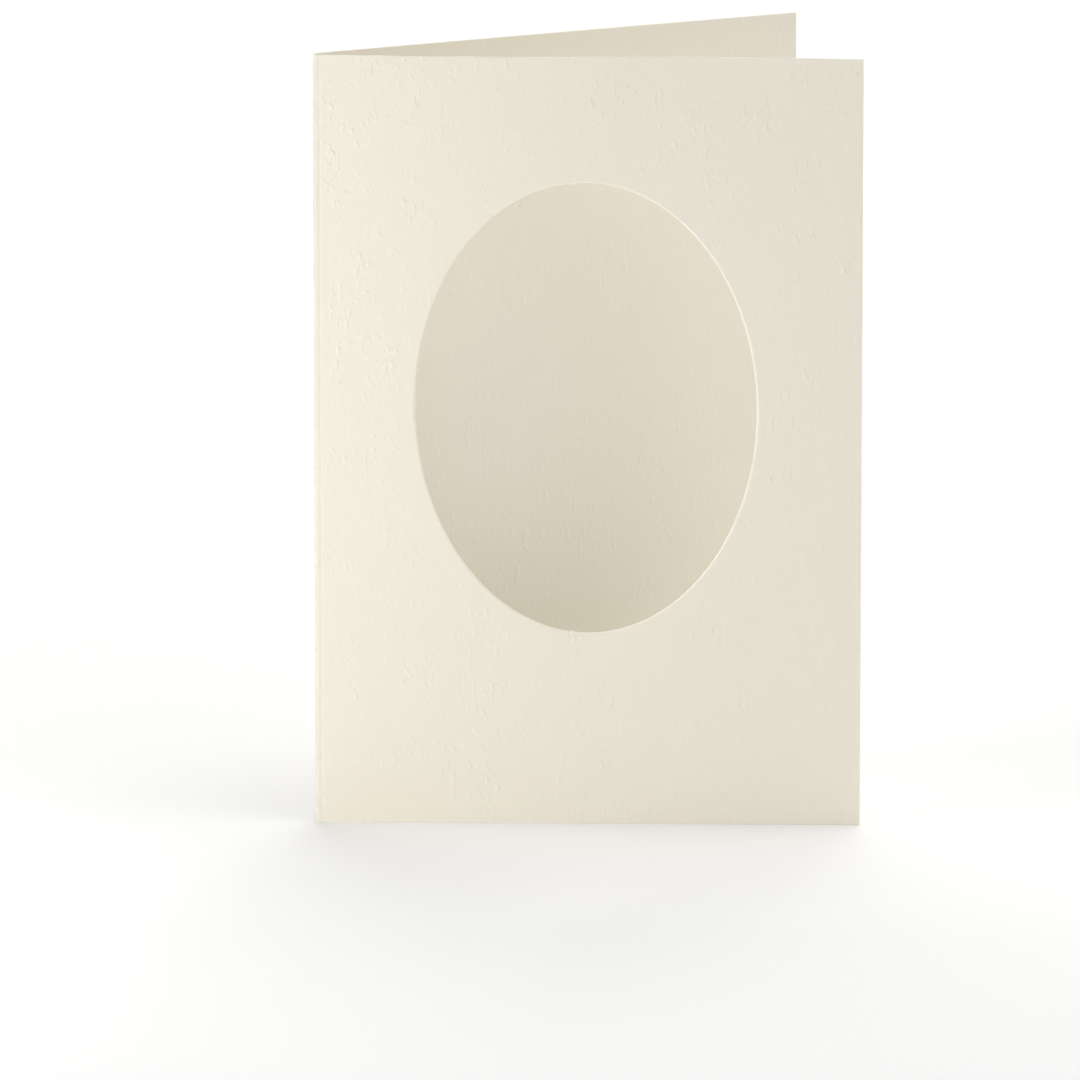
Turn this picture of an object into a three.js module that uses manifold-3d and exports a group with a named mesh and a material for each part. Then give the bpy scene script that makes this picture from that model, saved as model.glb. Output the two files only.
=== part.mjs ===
// A folded greeting card with an oval window cut in its front leaf.
// It is one sheet of ivory card: the front leaf, a scored and rounded fold, and a plain rear leaf.
// The card stands on its bottom edges, opened to a narrow V. Millimetres, +Z up.
// The front leaf runs along +X from the fold and faces -Y, and the rear leaf swings back towards +Y.

import * as THREE from "three";
import { mergeVertices } from "three/addons/utils/BufferGeometryUtils.js";
import Module from "manifold-3d";

// The sheet
const leafWidth = 105;
const leafHeight = 150;
const cardThickness = 0.4;
const openingAngle = THREE.MathUtils.degToRad(29.3);

// The fold, with a scored groove at each side of it and a pressed bead inside it
const foldRadius = 1.35;
const scoreWidth = 0.4;
const scoreDepth = 0.07;
const foldBead = 0.15;

// The window, measured at the front face, where the cutting die has rounded its edge
const windowWidth = 66.2;
const windowHeight = 88.7;
const windowFromSpine = 52.2;
const windowTopMargin = 24;
const windowTilt = THREE.MathUtils.degToRad(1);
const rolledEdgeWidth = 0.4;
const rolledEdgeDepth = 0.25;

// How finely the round stretches are divided
const foldSteps = 12;
const windowSteps = 120;
const rollSteps = 3;

// How far the window's cutter reaches past each face of the front leaf
const cutterReach = 0.6;

// Corners closer together than this are one corner
const mergeDistance = 1e-4;

const cardColor = 0xf3ecdb;

const wasm = await Module();
wasm.setup();

// A closed geometry as a manifold solid, with only its positions and its shared corners merged
function toSolid(geometry) {
  const bare = geometry.clone();
  bare.deleteAttribute("normal");
  bare.deleteAttribute("uv");
  const merged = mergeVertices(bare, mergeDistance);
  return new wasm.Manifold(new wasm.Mesh({
    numProp: 3,
    vertProperties: new Float32Array(merged.attributes.position.array),
    triVerts: new Uint32Array(merged.index.array),
  }));
}

function toGeometry(solid) {
  const mesh = solid.getMesh();
  const geometry = new THREE.BufferGeometry();
  geometry.setAttribute("position", new THREE.BufferAttribute(mesh.vertProperties, 3));
  geometry.setIndex(new THREE.BufferAttribute(mesh.triVerts, 1));
  geometry.computeVertexNormals();
  return geometry;
}

// The sheet seen from above: a thin V whose two leaves are tangent to the round fold.
// x runs along the front leaf from the outermost line of the fold, and y runs back.
function sheetSection() {
  const along = new THREE.Vector2(Math.cos(openingAngle), Math.sin(openingAngle));
  const outward = new THREE.Vector2(-along.y, along.x);
  const foldCentre = new THREE.Vector2(foldRadius, foldRadius);
  const innerRadius = foldRadius - cardThickness;
  const leafRun = leafWidth - foldRadius;
  const halfScore = scoreWidth / 2;
  const scoreTurn = halfScore / foldRadius;

  // A point of the rear leaf, by its distance along the leaf and outwards from the fold's centre
  const rearPoint = (run, out) => foldCentre.clone()
    .addScaledVector(along, run)
    .addScaledVector(outward, out);

  // The inside of the fold is flatter than a true arc by the bead, so the card is thickest there
  const foldTurn = Math.PI - openingAngle;
  const arcHandle = (4 / 3) * Math.tan(foldTurn / 4) * innerRadius;
  const beadHandle = arcHandle - foldBead / (0.75 * Math.cos(openingAngle / 2));

  const frontScoreEnd = -Math.PI / 2 - scoreTurn;
  const rearScoreStart = -Math.PI / 2 - foldTurn + scoreTurn;
  const rearOuterStart = rearPoint(halfScore, foldRadius);
  const rearScoreControl = rearPoint(0, foldRadius - 2 * scoreDepth);
  const rearOuterEnd = rearPoint(leafRun, foldRadius);
  const rearInnerEnd = rearPoint(leafRun, innerRadius);
  const rearInnerStart = rearPoint(0, innerRadius);
  const rearHandle = rearPoint(-beadHandle, innerRadius);

  const section = new THREE.Shape();
  section.moveTo(leafWidth, 0);
  section.lineTo(foldRadius + halfScore, 0);
  section.quadraticCurveTo(
    foldRadius, 2 * scoreDepth,
    foldCentre.x + foldRadius * Math.cos(frontScoreEnd),
    foldCentre.y + foldRadius * Math.sin(frontScoreEnd));
  section.absarc(foldCentre.x, foldCentre.y, foldRadius, frontScoreEnd, rearScoreStart, true);
  section.quadraticCurveTo(rearScoreControl.x, rearScoreControl.y, rearOuterStart.x, rearOuterStart.y);
  section.lineTo(rearOuterEnd.x, rearOuterEnd.y);
  section.lineTo(rearInnerEnd.x, rearInnerEnd.y);
  section.lineTo(rearInnerStart.x, rearInnerStart.y);
  section.bezierCurveTo(
    rearHandle.x, rearHandle.y,
    foldRadius - beadHandle, cardThickness,
    foldRadius, cardThickness);
  section.lineTo(leafWidth, cardThickness);
  section.closePath();
  return section;
}

function sheetGeometry() {
  return new THREE.ExtrudeGeometry(sheetSection(), {
    depth: leafHeight,
    bevelEnabled: false,
    curveSegments: foldSteps,
  });
}

// The oval that is cut out of the front leaf. Its bevels flare outwards at both ends, and the one
// that ends on the front face leaves the window's edge rounded there.
function windowCutter() {
  const oval = new THREE.Shape();
  oval.absellipse(
    0, 0,
    windowWidth / 2 - rolledEdgeWidth, windowHeight / 2 - rolledEdgeWidth,
    0, 2 * Math.PI, false, -windowTilt);
  const cutter = new THREE.ExtrudeGeometry(oval, {
    depth: cardThickness - rolledEdgeDepth + cutterReach,
    bevelEnabled: true,
    bevelThickness: rolledEdgeDepth,
    bevelSize: -rolledEdgeWidth,
    bevelOffset: rolledEdgeWidth,
    bevelSegments: rollSteps,
    curveSegments: windowSteps,
  });
  // Stood upright, so that the extrusion runs back through the leaf from its front face
  cutter.rotateX(-Math.PI / 2);
  const centreHeight = leafHeight - windowTopMargin - windowHeight / 2;
  cutter.translate(windowFromSpine, rolledEdgeDepth, centreHeight);
  return cutter;
}

function foldedCardGeometry() {
  const geometry = toGeometry(toSolid(sheetGeometry()).subtract(toSolid(windowCutter())));
  // The part's origin is the middle of its footprint, on the surface that the card stands on
  geometry.computeBoundingBox();
  const box = geometry.boundingBox;
  geometry.translate(-(box.min.x + box.max.x) / 2, -(box.min.y + box.max.y) / 2, -box.min.z);
  return geometry;
}

const cardMaterial = new THREE.MeshStandardMaterial({
  color: cardColor,
  roughness: 0.92,
  metalness: 0,
});

const foldedCard = new THREE.Mesh(foldedCardGeometry(), cardMaterial);
foldedCard.name = "folded_card";

const card = new THREE.Group();
card.add(foldedCard);

export default card;
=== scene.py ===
import math

import bpy
import numpy as np
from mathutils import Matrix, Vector


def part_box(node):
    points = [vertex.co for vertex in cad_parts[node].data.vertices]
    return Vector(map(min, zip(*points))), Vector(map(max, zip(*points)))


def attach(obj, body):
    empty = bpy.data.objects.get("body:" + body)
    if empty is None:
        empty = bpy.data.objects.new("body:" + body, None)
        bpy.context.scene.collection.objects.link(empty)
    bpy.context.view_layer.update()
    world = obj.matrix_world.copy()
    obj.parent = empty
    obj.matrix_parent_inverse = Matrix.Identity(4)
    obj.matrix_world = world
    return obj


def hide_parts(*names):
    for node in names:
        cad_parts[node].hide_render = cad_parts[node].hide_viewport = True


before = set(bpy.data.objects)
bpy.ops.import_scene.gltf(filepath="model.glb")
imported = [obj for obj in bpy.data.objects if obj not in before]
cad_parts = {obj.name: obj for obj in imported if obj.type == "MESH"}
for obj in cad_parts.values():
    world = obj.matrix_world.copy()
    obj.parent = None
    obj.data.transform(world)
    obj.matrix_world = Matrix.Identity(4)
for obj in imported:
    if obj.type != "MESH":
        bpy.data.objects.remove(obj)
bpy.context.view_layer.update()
print("frame loaded:", sorted(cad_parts))

mm = 0.001


# Shader helpers

# An output socket, wrapped so that shader maths reads as an expression and adds its Math nodes
class Signal:
    def __init__(self, tree, socket):
        self.tree = tree
        self.socket = socket

    def combine(self, operation, first, second):
        return self.tree.make("ShaderNodeMath", {"operation": operation}, {0: first, 1: second})

    def __add__(self, other):
        return self.combine("ADD", self, other)

    def __sub__(self, other):
        return self.combine("SUBTRACT", self, other)

    def __rsub__(self, other):
        return self.combine("SUBTRACT", other, self)

    def __mul__(self, other):
        return self.combine("MULTIPLY", self, other)

    def atLeast(self, other):
        return self.combine("MAXIMUM", self, other)

    def atMost(self, other):
        return self.combine("MINIMUM", self, other)

    __radd__ = __add__
    __rmul__ = __mul__


# The node tree of a material or a world. One method makes any node from its type, its settings and
# its inputs, and short ones call it for the nodes that are used often
class NodeTree:
    def __init__(self, owner):
        owner.use_nodes = True
        self.tree = owner.node_tree
        self.tree.nodes.clear()

    def make(self, kind, settings=None, inputs=None, output=0):
        node = self.tree.nodes.new(kind)
        for name, value in (settings or {}).items():
            setattr(node, name, value)
        for name, value in (inputs or {}).items():
            if isinstance(value, Signal):
                self.tree.links.new(value.socket, node.inputs[name])
            else:
                node.inputs[name].default_value = value
        return Signal(self, node.outputs[output]) if node.outputs else node

    def noise(self, place, scale, detail):
        return self.make("ShaderNodeTexNoise", None,
                         {"Vector": place, "Scale": scale, "Detail": detail})

    def attribute(self, name):
        return self.make("ShaderNodeAttribute", {"attribute_name": name}, output="Fac")

    # A colour between two others. The Mix node's sockets for colours are 6 and 7 in and 2 out
    def blend(self, share, first, second):
        return self.make("ShaderNodeMix", {"data_type": "RGBA"},
                         {0: share, 6: first, 7: second}, output=2)


# The sheet: one piece of ivory card with an oval window, folded to a narrow V

nodeLow, nodeHigh = (np.array(corner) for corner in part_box("folded_card"))

sheet = dict(
    leafWidth=nodeHigh[0] - nodeLow[0],
    leafHeight=nodeHigh[2] - nodeLow[2],
    thickness=0.4 * mm,
    opening=math.radians(29.3),
    foldRadius=1.35 * mm,       # outside of the rounded fold
    scoreWidth=0.4 * mm,        # the groove at each side of the fold
    scoreDepth=0.04 * mm,
    scoreSpread=0.4,            # reach of the groove's bell to 1/e, as a share of its width
    foldBead=0.15 * mm,         # the ridge that scoring presses up inside the fold
    cutRound=0.09 * mm,         # how far the cut edges are worn round
    holding=0.05 * mm,          # the narrow row that keeps a flat face flat up to its edge
    splitPastFold=0.6 * mm,     # where the grid round the window meets the grid of the fold
    rowStep=1.5 * mm,
    foldStep=0.07 * mm,
    wearSteps=4,
    edgeRawness=0.3,            # how raw the sheet's own cut edges are
    innerFelt=0.45,             # the inside is smoother than the outside
    mergeDistance=0.0005 * mm,
)

window = dict(
    width=66.2 * mm,
    height=88.7 * mm,
    fromSpine=52.2 * mm,
    topMargin=24.0 * mm,
    tilt=math.radians(1.0),     # anticlockwise, seen from the front
    rollWidth=0.4 * mm,         # the edge that the die has rounded at the front face
    rollDepth=0.25 * mm,
    rollWider=0.4,              # share by which the rounding is wider on the window's right side
    rollSteps=7,
    rays=26,
    nearSteps=(0, 0.05, 0.2, 0.5, 1.0),   # mm from the window's edge
)

# Where the die left the window's edge rough: nibs that stand into the window, and short grooves
# that run from its edge into the leaf. Each place is a distance along the leaf from the spine, and
# side is 1 at the top of the window and -1 at its foot
roughCut = dict(
    nibs=(
        dict(place=49.9 * mm, side=1, width=0.4 * mm, reach=0.25 * mm),
        dict(place=49.65 * mm, side=-1, width=0.22 * mm, reach=0.2 * mm),
    ),
    grooves=(
        dict(place=49.1 * mm, side=1, width=0.2 * mm, length=0.7 * mm, depth=0.1 * mm),
        dict(place=51.0 * mm, side=1, width=0.2 * mm, length=0.5 * mm, depth=0.08 * mm),
        dict(place=49.15 * mm, side=-1, width=0.17 * mm, length=1.3 * mm, depth=0.16 * mm),
    ),
    nibHighlight=0.6,                       # how strongly a nib is painted paler as a painted highlight, where the cut's right side is 1
    columns=(45.4 * mm, 51.6 * mm),       # the stretch of the top and the foot that faces them
    columnStep=0.2 * mm,
)

# How far the thin card strays from flat, outwards at its front face or its rear face
curl = dict(
    twist=1.35 * mm,            # the front leaf's free edge leans forward at the top, back at the foot
    wave=0.9 * mm,              # a slow wave along the top of the front leaf
    frontBow=0.35 * mm,
    rearBow=0.3 * mm,
)

neutral = sheet["foldRadius"] - sheet["thickness"] / 2
halfTurn = (math.pi - sheet["opening"]) / 2
halfArc = neutral * halfTurn
crownAngle = math.pi + sheet["opening"] / 2
leafRun = sheet["leafWidth"] - sheet["foldRadius"]
sheetEnd = halfArc + leafRun
splitRun = halfArc + sheet["splitPastFold"]


# Distance outwards from the middle of the sheet to its outer face: half the thickness, less a
# groove at each side of the fold, the bell exp(-(distance from the fold's end / reach)^2)
def outerFace(run):
    reach = sheet["scoreWidth"] * sheet["scoreSpread"]
    groove = np.exp(-(((np.abs(run) - halfArc) / reach) ** 2))
    return sheet["thickness"] / 2 - sheet["scoreDepth"] * groove


# The same for the inner face: minus half the thickness, and a bead that follows a squared cosine
# across the fold
def innerFace(run):
    share = np.clip(run / halfArc, -1, 1)
    return -sheet["thickness"] / 2 - sheet["foldBead"] * np.cos(share * math.pi / 2) ** 2


# Curl outwards of the flat leaves. With u from 0 at the fold to 1 at the free edge and v from 0 at
# the foot to 1 at the top, the front leaf twists as u(2v - 1), waves as sin(2 pi u) v^2 and bows
# inwards as 4u(1 - u) 4v(1 - v), and the rear leaf bows outwards as 4u(1 - u) v
def curlOut(run, height):
    u = np.clip((np.abs(run) - halfArc) / leafRun, 0, 1)
    v = height / sheet["leafHeight"]
    bow = 4 * u * (1 - u)
    front = (
        curl["twist"] * u * (2 * v - 1)
        + curl["wave"] * np.sin(2 * math.pi * u) * v ** 2
        - curl["frontBow"] * bow * 4 * v * (1 - v)
    )
    rear = curl["rearBow"] * bow * v
    return np.where(run > 0, front, rear)


# A point of the folded sheet from its place on the flat sheet. run is measured from the crown of
# the fold, positive on the front leaf. Within the fold the point turns about the fold's centre by
# run / radius, and past it the point goes straight on along the tangent
def foldedPoint(run, height, out):
    turn = np.clip(run / neutral, -halfTurn, halfTurn)
    past = run - turn * neutral
    angle = crownAngle + turn
    reach = neutral + out + curlOut(run, height)
    x = sheet["foldRadius"] + reach * np.cos(angle) - past * np.sin(angle)
    y = sheet["foldRadius"] + reach * np.sin(angle) + past * np.cos(angle)
    return np.stack([nodeLow[0] + x, nodeLow[1] + y, nodeLow[2] + height], axis=-1)


# Heights of the rows, from foot to top, with a narrow holding row inside each cut edge
def rowHeights():
    inset, hold, top = sheet["cutRound"], sheet["holding"], sheet["leafHeight"]
    count = round(top / sheet["rowStep"])
    middle = np.linspace(inset + hold, top - inset - hold, count)
    return np.concatenate([[inset], middle, [top - inset]])


# Runs of the columns of the rear leaf and the fold: wide on the leaf and fine round the fold
def rearColumns():
    inset, hold = sheet["cutRound"], sheet["holding"]
    leafEnd = -sheetEnd + inset + hold
    foldStart = -halfArc - sheet["splitPastFold"]
    wide = np.linspace(leafEnd, foldStart, round((foldStart - leafEnd) / sheet["rowStep"]))
    fine = np.linspace(foldStart, splitRun, round((splitRun - foldStart) / sheet["foldStep"]))
    return np.concatenate([[-sheetEnd + inset], wide, fine[1:]])


# The run on the flat sheet of a distance along the front leaf from the outermost line of the fold
def runOf(place):
    return halfArc + place - sheet["foldRadius"]


# Runs along the top and the foot of the front leaf, between the grid's split and the free edge,
# close together where they face the rough places of the window's edge
def frontColumns():
    stops = [splitRun, runOf(roughCut["columns"][0]), runOf(roughCut["columns"][1])]
    stops.append(sheetEnd - sheet["cutRound"])
    steps = [sheet["rowStep"], roughCut["columnStep"], sheet["rowStep"]]
    runs = [
        np.linspace(low, high, round((high - low) / step), endpoint=False)
        for low, high, step in zip(stops, stops[1:], steps)
    ]
    return np.concatenate(runs + [stops[-1:]])


heights = rowHeights()
rearRuns = rearColumns()
frontRuns = frontColumns()

windowRun = runOf(window["fromSpine"])
windowHeight = sheet["leafHeight"] - window["topMargin"] - window["height"] / 2


# The rectangle round the window as one anticlockwise ring of flat points, from the foot of the
# split line along the foot, up the free edge, back along the top and down the split line
def ringRoundWindow():
    foot = np.stack([frontRuns, np.full_like(frontRuns, heights[0])], axis=-1)
    free = np.stack([np.full_like(heights, frontRuns[-1]), heights], axis=-1)
    top = np.stack([frontRuns[::-1], np.full_like(frontRuns, heights[-1])], axis=-1)
    split = np.stack([np.full_like(heights, splitRun), heights[::-1]], axis=-1)
    return np.concatenate([foot[:-1], free[:-1], top[:-1], split[:-1]])


# A bell exp(-((run - place) / width)^2) on the window's top half or its lower half
def bellAt(rough, run, height):
    distance = (run - runOf(rough["place"])) / rough["width"]
    sameSide = (height - windowHeight) * rough["side"] > 0
    return np.exp(-(distance ** 2)) * sameSide


# The window's cut wall grown outwards by offset: the ellipse (a cos t, b sin t) plus offset times
# its unit normal (cos t / a, sin t / b), turned by the tilt, and then moved up or down into the
# window by a bell at each nib. t comes from the direction to each point of the outer ring, so that
# the rays between them run clean
def windowRing(outerRing, offset):
    a = window["width"] / 2 - window["rollWidth"]
    b = window["height"] / 2 - window["rollWidth"]
    c, s = math.cos(window["tilt"]), math.sin(window["tilt"])
    run = outerRing[:, 0] - windowRun
    height = outerRing[:, 1] - windowHeight
    t = np.arctan2((height * c - run * s) / b, (run * c + height * s) / a)
    normal = np.stack([np.cos(t) / a, np.sin(t) / b], axis=-1)
    normal /= np.linalg.norm(normal, axis=1, keepdims=True)
    x = a * np.cos(t) + offset * normal[:, 0]
    z = b * np.sin(t) + offset * normal[:, 1]
    run = windowRun + x * c - z * s
    height = windowHeight + x * s + z * c
    nibs = sum(n["side"] * n["reach"] * bellAt(n, run, height) for n in roughCut["nibs"])
    return np.stack([run, height - nibs], axis=-1)


# How far a place on the window's edge lies towards its right side, from 0 at the middle to about 1
def rightness(ring):
    return np.clip((ring[:, 0] - windowRun) / (window["width"] / 2), 0, 1)


# The rounding's width all round: rollWidth (1 + rollWider rightness)
def rollWidths():
    ring = windowRing(ringRoundWindow(), 0)
    return window["rollWidth"] * (1 + window["rollWider"] * rightness(ring))


# Flat points of the front leaf: rays from the window to the rectangle, point = inner + f (outer -
# inner), with narrow steps at both ends of each ray
def leafRays(offset):
    outer = ringRoundWindow()
    inner = windowRing(outer, offset)
    length = np.linalg.norm(outer - inner, axis=1)
    near = np.array(window["nearSteps"])[:, None] * mm / length
    hold = sheet["holding"] / length
    share = np.linspace(0, 1, window["rays"] - len(near))[1:, None]
    far = near[-1] + share * (1 - hold - near[-1])
    f = np.concatenate([near, far, np.ones((1, len(length)))])[..., None]
    return inner + f * (outer - inner)


# Patches are arrays of rows, columns and (run, height, out). A face patch takes its out from one
# of the sheet's two faces
def facePatch(flat, face):
    return np.concatenate([flat, face(flat[..., 0])[..., None]], axis=-1)


# The front of the leaf round the window: its outer face, less each groove as a bell across the
# groove that dies away as exp(-(distance from the window's edge / length)^2)
def frontPatch():
    flat = leafRays(rollWidths())
    fromEdge = np.linalg.norm(flat - flat[0], axis=-1)
    patch = facePatch(flat, outerFace)
    for groove in roughCut["grooves"]:
        bell = bellAt(groove, flat[..., 0], flat[..., 1])
        fade = np.exp(-((fromEdge / groove["length"]) ** 2))
        patch[..., 2] -= groove["depth"] * bell * fade
    return patch


# The outline of the whole sheet as a ring of flat points on its cut edges
def outlineRing():
    runs = np.concatenate([[-sheetEnd], rearRuns[1:], frontRuns[1:-1], [sheetEnd]])
    rises = np.concatenate([[0], heights[1:-1], [sheet["leafHeight"]]])
    foot = np.stack([runs, np.zeros_like(runs)], axis=-1)
    free = np.stack([np.full_like(rises, sheetEnd), rises], axis=-1)
    top = np.stack([runs[::-1], np.full_like(runs, sheet["leafHeight"])], axis=-1)
    rear = np.stack([np.full_like(rises, -sheetEnd), rises[::-1]], axis=-1)
    return np.concatenate([foot[:-1], free[:-1], top[:-1], rear[:-1]])


# The cut edge all round: a quarter circle from the outer face, the flat cut, and a quarter circle
# to the inner face. Each row is the outline moved in by its inset
def cutEdgePatch():
    ring = outlineRing()
    turn = np.linspace(0, math.pi / 2, sheet["wearSteps"])[:, None]
    inset = sheet["cutRound"] * (1 - np.sin(turn))
    drop = sheet["cutRound"] * (1 - np.cos(turn))
    run = np.clip(ring[:, 0], -sheetEnd + inset, sheetEnd - inset)
    height = np.clip(ring[:, 1], inset, sheet["leafHeight"] - inset)
    outer = np.stack([run, height, outerFace(run) - drop], axis=-1)
    inner = np.stack([run, height, innerFace(run) + drop], axis=-1)
    return np.concatenate([outer, inner[::-1]])


# The window's edge: a quarter ellipse rolled in from the front face, the cut wall, and a small
# quarter circle to the inner face. Its first row is the first row of the leaf's front face
def windowEdgePatch(front):
    outer = ringRoundWindow()
    roll = np.linspace(0, math.pi / 2, window["rollSteps"])
    worn = np.linspace(math.pi / 2, 0, sheet["wearSteps"])
    half = sheet["thickness"] / 2
    widths = rollWidths()
    offset = [share * widths for share in 1 - np.sin(roll)]
    offset += list(sheet["cutRound"] * (1 - np.sin(worn)))
    out = np.concatenate([
        half - window["rollDepth"] * (1 - np.cos(roll)),
        -half + sheet["cutRound"] * (1 - np.cos(worn)),
    ])
    rows = [
        np.concatenate([windowRing(outer, o), np.full((len(outer), 1), h)], axis=1)
        for o, h in zip(offset, out)
    ]
    rows[0] = front[0]
    return np.stack(rows)


# Quads between the rows and columns of a grid. closed joins the last column to the first, and
# flip turns the faces round
def gridQuads(rows, columns, closed, flip):
    row = np.arange(rows - 1)[:, None] * columns
    column = np.arange(columns if closed else columns - 1)[None, :]
    after = (column + 1) % columns
    corners = [row + column, row + after, row + columns + after, row + columns + column]
    quads = np.stack(corners, axis=-1).reshape(-1, 4)
    return quads[:, ::-1] if flip else quads


# Painted highlight along the window's edge, from 0 to 1: the larger of the rightness and a bell at
# each nib, times a sine that grows over the rounding from the front face to the cut wall. The right
# side and the nibs are painted paler where the light from the left falls on them
def windowEdgeHighlight(patch):
    rawAndHighlight = rightness(patch[0])
    for nib in roughCut["nibs"]:
        bell = bellAt(nib, patch[0][:, 0], patch[0][:, 1])
        rawAndHighlight = np.maximum(rawAndHighlight, roughCut["nibHighlight"] * bell)
    rounding = np.sin(np.linspace(0, math.pi / 2, window["rollSteps"]))
    return np.concatenate([rounding, np.ones(sheet["wearSteps"])])[:, None] * rawAndHighlight


# How far a place lies on the fold: 0 on the leaves, and growing evenly from the fold's ends to 1
# over the width of a score. It is the mask of the painted shade in the fold
def foldShadeShare(run):
    return np.clip((halfArc - np.abs(run)) / sheet["scoreWidth"], 0, 1)


# The patches joined into one set of flat points, with the quads between them and the two shares of
# each point. Points closer together than the merging distance become one, with the larger share
def joinPatches(patches):
    flat, quads, rawAndHighlight, felt, start = [], [], [], [], 0
    for patch, closed, flip, rawnessAndHighlight, feltAmount in patches:
        rows, columns = patch.shape[:2]
        quads.append(gridQuads(rows, columns, closed, flip) + start)
        flat.append(patch.reshape(-1, 3))
        rawAndHighlight.append(np.broadcast_to(rawnessAndHighlight, (rows, columns)).reshape(-1))
        felt.append(np.broadcast_to(feltAmount, (rows, columns)).reshape(-1))
        start += rows * columns
    flat = np.concatenate(flat)
    cells = np.round(flat / sheet["mergeDistance"]).astype(np.int64)
    _, first, merged = np.unique(cells, axis=0, return_index=True, return_inverse=True)
    merged = merged.reshape(-1)
    shares = []
    for parts in (rawAndHighlight, felt):
        share = np.zeros(len(first), np.float32)
        np.maximum.at(share, merged, np.concatenate(parts).astype(np.float32))
        shares.append(share)
    return flat[first], merged[np.concatenate(quads)], shares[0], shares[1]


# The sheet's mesh, folded up from its flat points. The flat place of each point becomes the UV map,
# and its shares become attributes for the finish
def foldedMesh(name, flat, quads, shares):
    mesh = bpy.data.meshes.new(name)
    points = foldedPoint(flat[:, 0], flat[:, 1], flat[:, 2])
    mesh.from_pydata(points.tolist(), [], quads.tolist())
    mesh.shade_smooth()
    uv = mesh.uv_layers.new(name="flatSheet")
    loops = np.zeros(len(mesh.loops), np.int32)
    mesh.loops.foreach_get("vertex_index", loops)
    place = np.stack([flat[:, 0] + sheetEnd, flat[:, 1]], axis=-1) / (2 * sheetEnd)
    uv.data.foreach_set("uv", place[loops].astype(np.float32).reshape(-1))
    for key, share in shares.items():
        attribute = mesh.attributes.new(key, "FLOAT", "POINT")
        attribute.data.foreach_set("value", share.astype(np.float32))
    return mesh


# The card from its patches: the rear leaf and the fold with both faces, both faces of the front leaf
# round the window, the sheet's cut edge and the window's edge
def makeCard():
    rear = np.stack(np.meshgrid(rearRuns, heights, indexing="xy"), axis=-1)
    front = frontPatch()
    frontInside = facePatch(leafRays(sheet["cutRound"]), innerFace)
    windowEdge = windowEdgePatch(front)
    innerFelt = sheet["innerFelt"]
    # Each patch, whether it is closed, whether its faces are flipped, its paleness of raw cut edge and
    # painted highlight, and its felt marks
    flat, quads, rawAndHighlight, felt = joinPatches([
        (facePatch(rear, outerFace), False, False, 0, 1),
        (facePatch(rear, innerFace), False, True, 0, innerFelt),
        (front, True, True, 0, 1),
        (frontInside, True, False, 0, innerFelt),
        (cutEdgePatch(), True, True, sheet["edgeRawness"], 0),
        (windowEdge, True, False, windowEdgeHighlight(windowEdge), 0),
    ])
    shares = dict(cutEdgeAndHighlight=rawAndHighlight, feltAmount=felt, foldShade=foldShadeShare(flat[:, 0]))
    mesh = foldedMesh("ivory_window_card", flat, quads, shares)
    card = bpy.data.objects.new("ivory_window_card", mesh)
    bpy.context.scene.collection.objects.link(card)
    print("card:", len(mesh.vertices), "points,", len(mesh.polygons), "faces")
    return card


# The card's finish

# Noise scales are to the millimetre. relief, pale and rough are how far each noise raises the
# surface, pales it and roughens it
finish = dict(
    ivory=(0.835, 0.785, 0.672, 1),
    pale=(0.885, 0.845, 0.745, 1),
    rawEdgeAndHighlightColour=(0.95, 0.92, 0.82, 1),       # the torn fibres of a cut edge, and the painted highlight on the window's right edge and nibs
    foldShadeColour=(0.74, 0.697, 0.598, 1),    # painted shade in the fold: a little darker than the leaves
    speckColour=(0.36, 0.33, 0.29, 1),
    plainPale=0.2,                         # share of the pale colour between the felt marks
    roughness=0.9,
    specular=0.3,
    reliefDepth=0.18 * mm,
    reliefStrength=0.8,
    grain=(1, 1, 0.55),                    # felt marks and fibres are longer upwards
    # The felt's pale is a painted highlight on the raised tops of the felt marks
    felt=dict(scale=0.95, detail=1.5, start=0.55, steepness=4, relief=0.95, pale=0.35),
    patches=dict(scale=0.12, detail=1.0, contrast=3, middle=0.6, least=0.25),
    fibre=dict(scale=4.0, detail=3.0, relief=0.12, pale=0.2, rough=0.15),
    cloud=dict(scale=0.03, detail=2.0, pale=0.3),
)
noiseMiddle = 0.5                          # the middle of a noise's range

# Two specks of dirt on the inside of the rear leaf
specks = (
    dict(place=44.75 * mm, height=116.75 * mm, radius=0.27 * mm, darkness=0.8),
    dict(place=29.57 * mm, height=100.81 * mm, radius=0.24 * mm, darkness=0.55),
)


# A speck is a ball in space with a soft rim: its share is darkness (1 - smooth(distance / radius))
def speckShare(tree, inMm, speck):
    run = np.array(-runOf(speck["place"]))
    centre = foldedPoint(run, np.array(speck["height"]), -sheet["thickness"] / 2) / mm
    distance = tree.make("ShaderNodeVectorMath", {"operation": "DISTANCE"},
                         {0: inMm, 1: tuple(centre)}, output="Value")
    return tree.make("ShaderNodeMapRange", {"interpolation_type": "SMOOTHSTEP"}, {
        "Value": distance, "From Min": speck["radius"] / mm, "From Max": 0,
        "To Min": 0, "To Max": speck["darkness"]})
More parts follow.
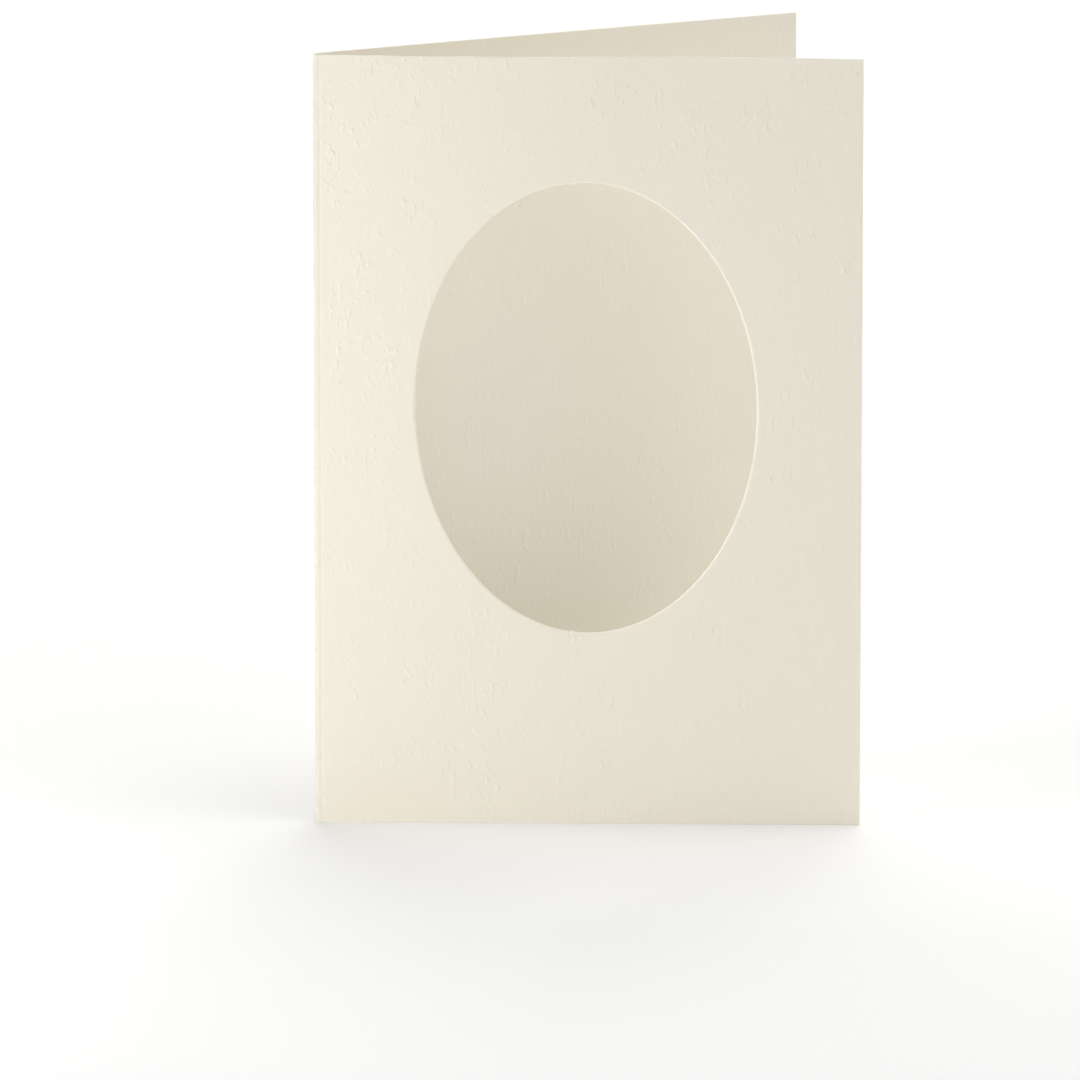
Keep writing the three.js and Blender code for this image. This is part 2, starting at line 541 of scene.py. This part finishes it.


# Uncoated felt-marked card. The felt marks are the tops of one 3-D noise, and the fibres are a finer
# noise. Both raise the surface. The felt marks are painted paler where they stand proud, a painted
# highlight on their tops, and the fibres pale it a little where they stand proud. A slow noise makes
# the marks come and go in patches, and a broad cloud varies the tone. The fold is painted darker,
# painted shade in the crease, and the cut edges are paler: raw fibres on the sheet's own edges,
# painted highlight on the window's right edge and its nibs
def ivoryCard():
    material = bpy.data.materials.new("ivoryCard")
    tree = NodeTree(material)
    felt, patches, fibre, cloud = (finish[key] for key in ("felt", "patches", "fibre", "cloud"))
    place = tree.make("ShaderNodeTexCoord", output="Object")
    inMm = tree.make("ShaderNodeVectorMath", {"operation": "SCALE"}, {0: place, "Scale": 1 / mm})
    grained = tree.make("ShaderNodeVectorMath", {"operation": "MULTIPLY"},
                        {0: inMm, 1: finish["grain"]})
    feltNoise = tree.noise(grained, felt["scale"], felt["detail"])
    patchNoise = tree.noise(inMm, patches["scale"], patches["detail"]) - noiseMiddle
    fibreNoise = tree.noise(grained, fibre["scale"], fibre["detail"])
    cloudNoise = tree.noise(inMm, cloud["scale"], cloud["detail"]) - noiseMiddle

    amount = (patchNoise * patches["contrast"] + patches["middle"]).atLeast(patches["least"]).atMost(1)
    marks = ((feltNoise - felt["start"]) * felt["steepness"]).atLeast(0)
    marks = marks * (amount * tree.attribute("feltAmount"))
    relief = marks * felt["relief"] + fibreNoise * fibre["relief"]
    fibreNoise = fibreNoise - noiseMiddle
    # Paler on the raised felt marks, a painted highlight on their tops; the fibres and the cloud vary
    # the tone
    toneAndHighlightShare = (
        marks * felt["pale"]
        + fibreNoise * fibre["pale"]
        + cloudNoise * cloud["pale"]
        + finish["plainPale"]
    )
    colour = tree.blend(toneAndHighlightShare, finish["ivory"], finish["pale"])
    # The fold is painted darker: painted shade in the crease
    colour = tree.blend(tree.attribute("foldShade"), colour, finish["foldShadeColour"])
    # Paler cut edges: raw fibres on the sheet's own edges, painted highlight on the window's right
    # edge and its nibs
    colour = tree.blend(tree.attribute("cutEdgeAndHighlight"), colour, finish["rawEdgeAndHighlightColour"])
    for speck in specks:
        colour = tree.blend(speckShare(tree, inMm, speck), colour, finish["speckColour"])
    bump = tree.make("ShaderNodeBump", None, {
        "Strength": finish["reliefStrength"], "Distance": finish["reliefDepth"], "Height": relief})
    shader = tree.make("ShaderNodeBsdfPrincipled", None, {
        "Base Color": colour,
        "Roughness": fibreNoise * fibre["rough"] + finish["roughness"],
        "Specular IOR Level": finish["specular"],
        "Normal": bump,
    })
    tree.make("ShaderNodeOutputMaterial", None, {"Surface": shader})
    return material


card = makeCard()
card.data.materials.append(ivoryCard())
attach(card, "root")
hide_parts("folded_card")
print("card finished")


# The studio: a white floor, a white surround that is brighter to the right, three lights from the
# left, a weak one low in front and two broad ones above

studio = dict(
    floorSize=12.0,
    floorColour=(0.95, 0.95, 0.945, 1),
    floorRoughness=0.9,
    floorSpecular=0.1,
    surround=0.1,
    glowRight=1.66,
    lights=(
        dict(name="nearLeft", place=(-0.30, -0.16, 0.035), aim=(0, 0, 0.05), side=0.06, power=0.31),
        dict(name="lowLeft", place=(-0.55, -0.30, 0.03), aim=(0, 0, 0.07), side=0.2, power=1.25),
        dict(name="farLeft", place=(-2.0, -1.2, 1.2), aim=(0, 0, 0.07), side=1.2, power=6),
        dict(name="lowFront", place=(0.1, -0.8, 0.02), aim=(0, 0, 0.03), side=0.3, power=0.2),
        dict(name="top", place=(0.05, 0.05, 1.3), aim=(0, 0, 0.05), side=1.0, power=6.1),
        dict(name="backTop", place=(0, 1.6, 1.4), aim=(0, 0.6, 0), side=1.5, power=16.4),
    ),
)


# The floor is one flat square at height 0
def makeFloor():
    half = studio["floorSize"] / 2
    mesh = bpy.data.meshes.new("floor")
    corners = [(-half, -half, 0), (half, -half, 0), (half, half, 0), (-half, half, 0)]
    mesh.from_pydata(corners, [], [(0, 1, 2, 3)])
    floor = bpy.data.objects.new("floor", mesh)
    bpy.context.scene.collection.objects.link(floor)
    material = bpy.data.materials.new("whiteFloor")
    tree = NodeTree(material)
    shader = tree.make("ShaderNodeBsdfPrincipled", None, {
        "Base Color": studio["floorColour"],
        "Roughness": studio["floorRoughness"],
        "Specular IOR Level": studio["floorSpecular"],
    })
    tree.make("ShaderNodeOutputMaterial", None, {"Surface": shader})
    mesh.materials.append(material)


# The surround's brightness in a direction d is surround + glowRight max(0, d.x)
def makeSurround():
    world = bpy.data.worlds.new("surround")
    bpy.context.scene.world = world
    tree = NodeTree(world)
    direction = tree.make("ShaderNodeTexCoord", output="Generated")
    towardsRight = tree.make("ShaderNodeVectorMath", {"operation": "DOT_PRODUCT"},
                             {0: direction, 1: (1, 0, 0)}, output="Value")
    brightness = towardsRight.atLeast(0) * studio["glowRight"] + studio["surround"]
    background = tree.make("ShaderNodeBackground", None,
                           {"Color": (1, 1, 1, 1), "Strength": brightness})
    tree.make("ShaderNodeOutputWorld", None, {"Surface": background})


# A square area light at its place, turned towards its aim
def makeLight(name, place, aim, side, power):
    light = bpy.data.lights.new(name, "AREA")
    light.shape = "SQUARE"
    light.size = side
    light.energy = power
    lamp = bpy.data.objects.new(name, light)
    lamp.location = place
    towards = Vector(aim) - Vector(place)
    lamp.rotation_euler = towards.to_track_quat("-Z", "Y").to_euler()
    bpy.context.scene.collection.objects.link(lamp)


makeFloor()
makeSurround()
for light in studio["lights"]:
    makeLight(**light)
print("studio ready")


# The camera: a long lens that looks down on the card, aimed at a point of the front leaf

camera = dict(
    lens=400,
    sensor=36,
    pitch=math.radians(11.91),
    turn=math.radians(2.19),
    distance=2.302,
    aimFromSpine=43.4 * mm,
    aimHeight=55.95 * mm,
    clip=(0.05, 50),
)


# The camera stands back from its aim, raised by the pitch and moved to the right by the turn
def makeCamera():
    data = bpy.data.cameras.new("camera")
    data.lens = camera["lens"]
    data.sensor_width = camera["sensor"]
    data.clip_start, data.clip_end = camera["clip"]
    view = bpy.data.objects.new("camera", data)
    pitch, turn = camera["pitch"], camera["turn"]
    aim = Vector((nodeLow[0] + camera["aimFromSpine"], nodeLow[1], camera["aimHeight"]))
    back = Vector((
        math.cos(pitch) * math.sin(turn),
        -math.cos(pitch) * math.cos(turn),
        math.sin(pitch),
    ))
    view.location = aim + back * camera["distance"]
    view.rotation_euler = (math.pi / 2 - pitch, 0, turn)
    bpy.context.scene.collection.objects.link(view)
    bpy.context.scene.camera = view


makeCamera()
bpy.context.scene.view_settings.view_transform = "Standard"
